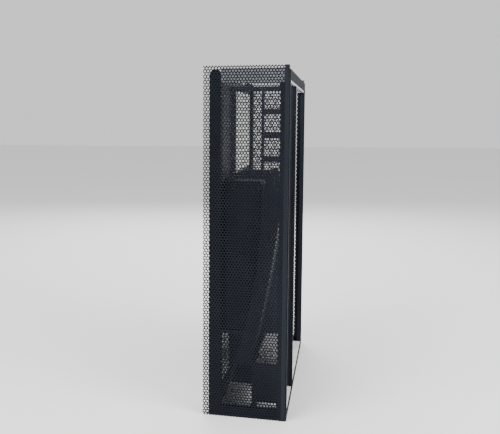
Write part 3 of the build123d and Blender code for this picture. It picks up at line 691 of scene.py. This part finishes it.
def filled(name, node, voxel, shrink, swell):
    """Cloth bag swollen from the CAD solid and kept inside its box, simulated at a larger scale."""
    bag = clothed_copy(name, node, voxel, shrink)
    low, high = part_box(node)
    bag.data.transform(Matrix.Scale(CLOTH_SCALE, 4))
    cloth = bag.modifiers.new("fill", "CLOTH")
    cloth.settings.quality = 4
    cloth.settings.use_pressure = True
    cloth.settings.uniform_pressure_force = CLOTH_PRESSURE
    cloth.settings.effector_weights.gravity = 0
    cloth.point_cache.frame_start = 1
    cloth.point_cache.frame_end = CLOTH_FRAMES
    rest = [vert.co.copy() for vert in bag.data.vertices]
    for step in range(1, CLOTH_FRAMES + 1):
        bpy.context.scene.frame_set(step)
    applied(bag)
    bpy.context.scene.frame_set(1)
    for vert, start in zip(bag.data.vertices, rest):
        move = vert.co - start
        if move.length > swell * CLOTH_SCALE:
            vert.co = start + move.normalized() * swell * CLOTH_SCALE
    bag.data.transform(Matrix.Scale(1 / CLOTH_SCALE, 4))
    for vert in bag.data.vertices:
        for k in range(3):
            vert.co[k] = min(max(vert.co[k], low[k]), high[k])
    return bag


def netting(name, bag, gauge):
    """Net of thin threads along the edges of a bag's mesh."""
    net = bpy.data.objects.new(name, bag.data.copy())
    bpy.context.scene.collection.objects.link(net)
    wire = net.modifiers.new("threads", "WIREFRAME")
    wire.thickness = gauge
    wire.offset = -1.0
    wire.use_even_offset = False
    return applied(net)


RING_SEGMENTS = 14
RING_BORE = 0.24                # radius of the bore, as a share of the ring's diameter, like the next five
RING_HALF = 0.47
RING_LIP = 0.06
RING_REACH = 0.68
RING_GAP = 0.98
RING_JITTER = 0.1


def ceramic_ring(centre, turn, across):
    """Points and faces of one short tube."""
    outer, inner, half = across / 2, across * RING_BORE, across * RING_HALF
    lip = across * RING_LIP
    profile = (
        (outer - lip, -half), (outer, lip - half), (outer, half - lip),
        (outer - lip, half), (inner, half), (inner, -half),
    )
    points, faces = [], []
    for step in range(RING_SEGMENTS):
        angle = 2 * math.pi * step / RING_SEGMENTS
        for radius, along in profile:
            spot = turn @ Vector((radius * math.cos(angle), radius * math.sin(angle), along))
            points.append(centre + spot)
    count = len(profile)
    for step in range(RING_SEGMENTS):
        for k in range(count):
            n, s = (k + 1) % count, (step + 1) % RING_SEGMENTS
            faces.append((step * count + k, s * count + k, s * count + n, step * count + n))
    return points, faces


def ring_fill(name, low, high, across, cloth, dice):
    """Loose ceramic rings on a jittered grid inside a box, a cloth's depth within it."""
    reach = across * RING_REACH + cloth
    start, stop = low + Vector((reach,) * 3), high - Vector((reach,) * 3)
    gap = across * RING_GAP
    counts = [max(2, int((stop[k] - start[k]) / gap) + 1) for k in range(3)]
    points, faces = [], []
    for i in range(counts[0]):
        for j in range(counts[1]):
            for k in range(counts[2]):
                share = [n / (c - 1) for n, c in zip((i, j, k), counts)]
                centre = Vector([start[m] + (stop[m] - start[m]) * share[m] for m in range(3)])
                centre += Vector([dice.uniform(-RING_JITTER, RING_JITTER) * across for _ in range(3)])
                angle = dice.uniform(0, math.pi)
                turn = Matrix.Rotation(angle, 3, Vector([dice.uniform(-1, 1) for _ in range(3)]))
                more_points, more_faces = ceramic_ring(centre, turn, across)
                base = len(points)
                points += more_points
                faces += [tuple(base + f for f in face) for face in more_faces]
    rings = mesh_object(name, points, faces)
    tidy_normals(rings, merge=False)
    return rings


class FILTER_OT_bio_bags(bpy.types.Operator):
    """Fill the two net bags with ceramic rings"""

    bl_idname = "filter_kit.bio_bags"
    bl_label = "Bio media bags"

    def execute(self, context):
        settings = context.scene.filter_media
        dice = random.Random(settings.seed)
        # The lower bag's net and rings are darker copies of the upper bag's: painted shade on the lower bag.
        upper_bag_finish = (thread("pale_net", (0.34, 0.345, 0.35)), fired_clay("ring_ceramic", (0.4, 0.39, 0.37)))
        shaded_bag_finish = (thread("painted_shade_net", (0.19,) * 3), fired_clay("painted_shade_ceramic", (0.21, 0.205, 0.19)))
        for side, (net_thread, clay) in (("lower", shaded_bag_finish), ("upper", upper_bag_finish)):
            node = side + "_bio_bag"
            body = side + "_bag"
            low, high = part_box(node)
            bag = filled(side + "_bag_form", node, settings.net_mesh, BAG_SHRINK, BAG_SWELL)
            net = netting(side + "_bag_net", bag, settings.net_thread)
            bpy.data.objects.remove(bag)
            finish_piece(net, net_thread, "media_net", body, node)
            rings = ring_fill(side + "_bag_rings", low, high, settings.ring_across, NET_TO_RINGS, dice)
            finish_piece(rings, clay, "media_net", body)
        return {"FINISHED"}


class FILTER_OT_carbon_bag(bpy.types.Operator):
    """Fill the carbon bag in the carrier's pocket"""

    bl_idname = "filter_kit.carbon_bag"
    bl_label = "Carbon bag"

    def execute(self, context):
        grid = CARBON_GRID
        bag = clothed_copy("carbon_bag_fill", "carbon_bag", grid, 0.25 * MM)
        softened(bag, 6)
        rough_surface(bag, CARBON_DIMPLE, CARBON_DIMPLE_DEPTH)
        smooth_shaded(bag)
        grains = granules("carbon_grains", (0.02, 0.02, 0.022), CARBON_GRAIN)
        finish_piece(bag, grains, "carbon_cloth", "carrier", "carbon_bag")
        return {"FINISHED"}


class FILTER_OT_carrier(bpy.types.Operator):
    """Finish the lift-out media carrier and its handle"""

    bl_idname = "filter_kit.carrier"
    bl_label = "Media carrier"

    def execute(self, context):
        plastic = context.scene.filter_housing.plastic
        dress(moulded("carrier_plastic", shade(plastic, 1.5), 0.36, edge=0.3), "media_carrier")
        dress(moulded("handle_plastic", shade(plastic, 1.2), 0.34, edge=0.5), "carrier_handle")
        return {"FINISHED"}


# ---------------------------------------------------------------- pump, hose and nozzle
CUP_RADIUS = 6.5
CUP_TALL = 9.0
# radius and height of a suction cup's outline in mm: thin skirt, neck, then the button in the housing
CUP_OUTLINE = [
    (0.0, 1.6), (2.6, 1.3), (4.6, 0.7), (5.9, 0.15), (CUP_RADIUS, 0.0), (6.45, 0.3), (5.6, 1.0),
    (4.1, 1.9), (2.9, 2.6), (2.1, 3.0), (2.0, 4.2), (2.6, 4.6), (2.7, 5.4), (2.2, 6.0), (2.2, 7.4),
    (2.6, 7.8), (2.6, CUP_TALL), (0.0, CUP_TALL),
]
GLAND_BORE = 2.25 * MM
GLAND_NECK = 3.2 * MM
GLAND_FOOT = 4.75 * MM
GLAND_TIP = 3.2 * MM
GLAND_RIBS = 5
GLAND_STEPS = 60
GROOVE_DEPTH = 0.5 * MM
GROOVED = (0.08, 0.95)          # grooved stretch, as shares of the height
HOSE_WALL = 1.5 * MM
HOSE_CUFF = 8.2 * MM            # smooth ends of the hose
STEPS_IN_RIB = 10


def foot_centre(node):
    """Middle of a node's underside."""
    low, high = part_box(node)
    return ((low.x + high.x) / 2, (low.y + high.y) / 2, low.z)


class FILTER_OT_pump(bpy.types.Operator):
    """Finish the pump, with turned suction cups and a ribbed gland"""

    bl_idname = "filter_kit.pump"
    bl_label = "Pump"

    def execute(self, context):
        shell = context.scene.filter_pump.shell
        dress(moulded("pump_shell", shell, 0.3, edge=0.6), "motor_housing", "back_plate", "volute_cover")
        dress(moulded("dial_grey", (0.11, 0.115, 0.125), 0.4), "flow_dial", "hose_clips")
        dress(rubber("bush_rubber", (0.05, 0.05, 0.052)), "front_bush", "rear_bush", "seal_ring")
        dress(moulded("impeller_white", (0.6, 0.61, 0.6), 0.35), "impeller")
        dress(satin_metal("magnet_black", (0.05, 0.05, 0.052), 0.45, 0.5), "rotor_magnet")
        dress(fired_clay("shaft_ceramic", (0.85, 0.84, 0.8)), "impeller_shaft")
        dress(lined("core_plates", (0.2, 0.2, 0.21), (0.5, 0.5, 0.51), 0.5 * MM, "Y", 0.9), "stator_core")
        dress(lined("copper_turns", (0.3, 0.1, 0.04), (0.7, 0.32, 0.16), 0.3 * MM, "X", 0.9), "coil")
        dress(satin_metal("screw_steel", (0.55, 0.55, 0.56), 0.3, 1.0), "volute_screws")
        self.suction_cups()
        self.gland()
        return {"FINISHED"}

    def suction_cups(self):
        """Four cups: a thin flared skirt, a neck and a button that snaps into the housing."""
        low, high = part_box("suction_cups")
        reach = CUP_RADIUS * MM
        tall = high.z - low.z
        scaled = [(r * MM, z / CUP_TALL * tall) for r, z in CUP_OUTLINE]
        cups = []
        for x in (low.x + reach, high.x - reach):
            for y in (low.y + reach, high.y - reach):
                cups.append(lathe("cup", scaled, (x, y, low.z), 40, closed=False))
        whole = join("suction_cups_turned", cups)
        tidy_normals(whole)
        smooth_shaded(whole)
        material = rubber("cup_rubber", (0.06, 0.062, 0.066), 0.5)
        finish_piece(whole, material, "grey_rubber", "housing", "suction_cups")

    def gland(self):
        """Tapered cord gland with soft ribs and an open bore, pointing up."""
        low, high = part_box("cord_gland")
        case_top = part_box("motor_housing")[1].z
        seat = case_top - low.z
        tall = high.z - case_top
        profile = [(GLAND_BORE, 0.0), (GLAND_NECK, 0.0), (GLAND_NECK, seat)]
        for k in range(GLAND_STEPS + 1):
            share = k / GLAND_STEPS
            groove = GROOVE_DEPTH * (0.5 - 0.5 * math.cos(2 * math.pi * share * GLAND_RIBS))
            if not GROOVED[0] < share < GROOVED[1]:
                groove = 0
            profile.append((GLAND_FOOT + (GLAND_TIP - GLAND_FOOT) * share - groove, seat + share * tall))
        profile.append((GLAND_BORE, seat + tall))
        piece = lathe("cord_gland_ribbed", profile, foot_centre("cord_gland"), 40)
        material = rubber("gland_rubber", (0.012, 0.012, 0.014))
        finish_piece(piece, material, "black_rubber", "housing", "cord_gland")


class FILTER_OT_hose(bpy.types.Operator):
    """Make the ribbed riser hose"""

    bl_idname = "filter_kit.hose"
    bl_label = "Riser hose"

    def execute(self, context):
        settings = context.scene.filter_pump
        low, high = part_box("riser_hose")
        outer = (high.x - low.x) / 2
        inner = outer - HOSE_WALL
        tall = high.z - low.z
        ribs = round((tall - 2 * HOSE_CUFF) / settings.rib_pitch)
        profile = [(inner, 0.0), (outer, 0.0), (outer, HOSE_CUFF)]
        steps = ribs * STEPS_IN_RIB
        for k in range(1, steps):
            share = k / steps
            dip = settings.rib_height * (0.5 - 0.5 * math.cos(2 * math.pi * share * ribs)) ** 0.7
            profile.append((outer - dip, HOSE_CUFF + share * (tall - 2 * HOSE_CUFF)))
        profile += [(outer, tall - HOSE_CUFF), (outer, tall), (inner, tall)]
        hose = lathe("riser_hose_ribbed", profile, foot_centre("riser_hose"), 48)
        material = moulded("hose_plastic", (0.03, 0.031, 0.035), 0.3, edge=0)
        finish_piece(hose, material, "hose_plastic", "housing", "riser_hose")
        return {"FINISHED"}


class FILTER_OT_nozzle(bpy.types.Operator):
    """Finish the outlet pipe and the swivelling nozzle"""

    bl_idname = "filter_kit.nozzle"
    bl_label = "Outlet nozzle"

    def execute(self, context):
        shell = context.scene.filter_pump.shell
        pipe = moulded("pipe_plastic", shell, 0.28, edge=0.3)
        dress(pipe, "outlet_adapter", "nozzle_elbow", "lock_collar")
        dress(moulded("nozzle_plastic", shade(shell, 1.2), 0.25, edge=0.3), "nozzle_swivel", "nozzle_tip")
        dress(rubber("grommet_rubber", (0.012, 0.012, 0.014)), "wall_grommet")
        return {"FINISHED"}


# ---------------------------------------------------------------- stage
LIT_POINT = (0, 0, 0.13)
WORLD_STRENGTH = 0.95
# name, place in metres, width and height in metres, watts
LIGHTS = (
    ("key", (-0.55, -0.75, 0.85), (0.7, 0.7), 14),
    ("fill", (0.9, -0.45, 0.38), (0.8, 0.8), 22),
    ("rim", (-0.2, 0.9, 0.7), (0.8, 0.5), 10),
)
FLOOR_REACH = 6.0
FLOOR_DROP = 0.2 * MM
SENSOR_WIDTH = 36
FRAME_SHIFT = (0.118, -0.055)
CAMERA_X = 0.068                # in metres
CAMERA_AHEAD = 0.490            # in front of the front screen
CAMERA_HEIGHT = 0.220


def soft_light(name, place, size, power):
    """Large area light aimed at the middle of the filter."""
    data = bpy.data.lights.new(name, "AREA")
    data.shape = "RECTANGLE"
    data.size, data.size_y = size
    data.energy = power
    lamp = bpy.data.objects.new(name, data)
    bpy.context.scene.collection.objects.link(lamp)
    lamp.location = place
    lamp.rotation_mode = "QUATERNION"
    lamp.rotation_quaternion = (Vector(LIT_POINT) - Vector(place)).to_track_quat("-Z", "Y")


class FILTER_OT_stage(bpy.types.Operator):
    """Set up the floor, the lights and the camera"""

    bl_idname = "filter_kit.stage"
    bl_label = "Stage"

    def execute(self, context):
        settings = context.scene.filter_stage
        self.floor(settings)
        world = bpy.data.worlds.new("studio")
        world.use_nodes = True
        world.node_tree.nodes["Background"].inputs["Color"].default_value = (1, 1, 1, 1)
        world.node_tree.nodes["Background"].inputs["Strength"].default_value = WORLD_STRENGTH
        context.scene.world = world
        for light in LIGHTS:
            soft_light(*light)
        self.camera(context, settings)
        return {"FINISHED"}

    def floor(self, settings):
        """Plain pale floor."""
        far = FLOOR_REACH
        corners = [(-far, -far, 0), (far, -far, 0), (far, far, 0), (-far, far, 0)]
        floor = mesh_object("studio_floor", corners, [(0, 1, 2, 3)])
        floor.location.z = -FLOOR_DROP
        made = Recipe("floor_paint", Roughness=0.7)
        tint = settings.floor_tint
        made.colour(made.blend(made.noise(0.4, 3), shade(tint, 0.985), tint))
        floor.data.materials.append(made.material)

    def camera(self, context, settings):
        """Camera to the right of the module and above its middle, turned a little to the left."""
        data = bpy.data.cameras.new("camera")
        data.lens = settings.lens
        data.sensor_width = SENSOR_WIDTH
        data.shift_x, data.shift_y = FRAME_SHIFT
        data.clip_start = 0.01
        camera = bpy.data.objects.new("camera", data)
        context.scene.collection.objects.link(camera)
        camera.location = (CAMERA_X, cad_low.y - CAMERA_AHEAD, CAMERA_HEIGHT)
        camera.rotation_mode = "XYZ"
        camera.rotation_euler = (math.pi / 2 - settings.tilt, 0, settings.turn)
        context.scene.camera = camera


# ---------------------------------------------------------------- panel and registration
OPERATORS = (
    FILTER_OT_stage, FILTER_OT_screens, FILTER_OT_housing, FILTER_OT_carrier, FILTER_OT_foam,
    FILTER_OT_carbon_bag, FILTER_OT_bio_bags, FILTER_OT_pump, FILTER_OT_hose, FILTER_OT_nozzle,
)
SETTINGS = {
    "filter_screens": ScreenSettings,
    "filter_housing": HousingSettings,
    "filter_media": MediaSettings,
    "filter_pump": PumpSettings,
    "filter_stage": StageSettings,
}


class FILTER_PT_panel(bpy.types.Panel):
    """Lists the filter's pieces and their settings"""

    bl_idname = "FILTER_PT_panel"
    bl_label = "Internal power filter"
    bl_space_type = "VIEW_3D"
    bl_region_type = "UI"
    bl_category = "Filter"

    def draw(self, context):
        for operator in OPERATORS:
            self.layout.operator(operator.bl_idname)
        for name, group in SETTINGS.items():
            box = self.layout.box()
            for key in group.__annotations__:
                box.prop(getattr(context.scene, name), key)


def register():
    for group in SETTINGS.values():
        bpy.utils.register_class(group)
    for name, group in SETTINGS.items():
        setattr(bpy.types.Scene, name, PointerProperty(type=group))
    for operator in OPERATORS:
        bpy.utils.register_class(operator)
    bpy.utils.register_class(FILTER_PT_panel)


def unregister():
    bpy.utils.unregister_class(FILTER_PT_panel)
    for operator in reversed(OPERATORS):
        bpy.utils.unregister_class(operator)
    for name, group in SETTINGS.items():
        delattr(bpy.types.Scene, name)
        bpy.utils.unregister_class(group)


def main():
    """Builds every piece in order."""
    register()
    for operator in OPERATORS:
        group, name = operator.bl_idname.split(".")
        getattr(getattr(bpy.ops, group), name)()


if __name__ == "__main__":
    main()
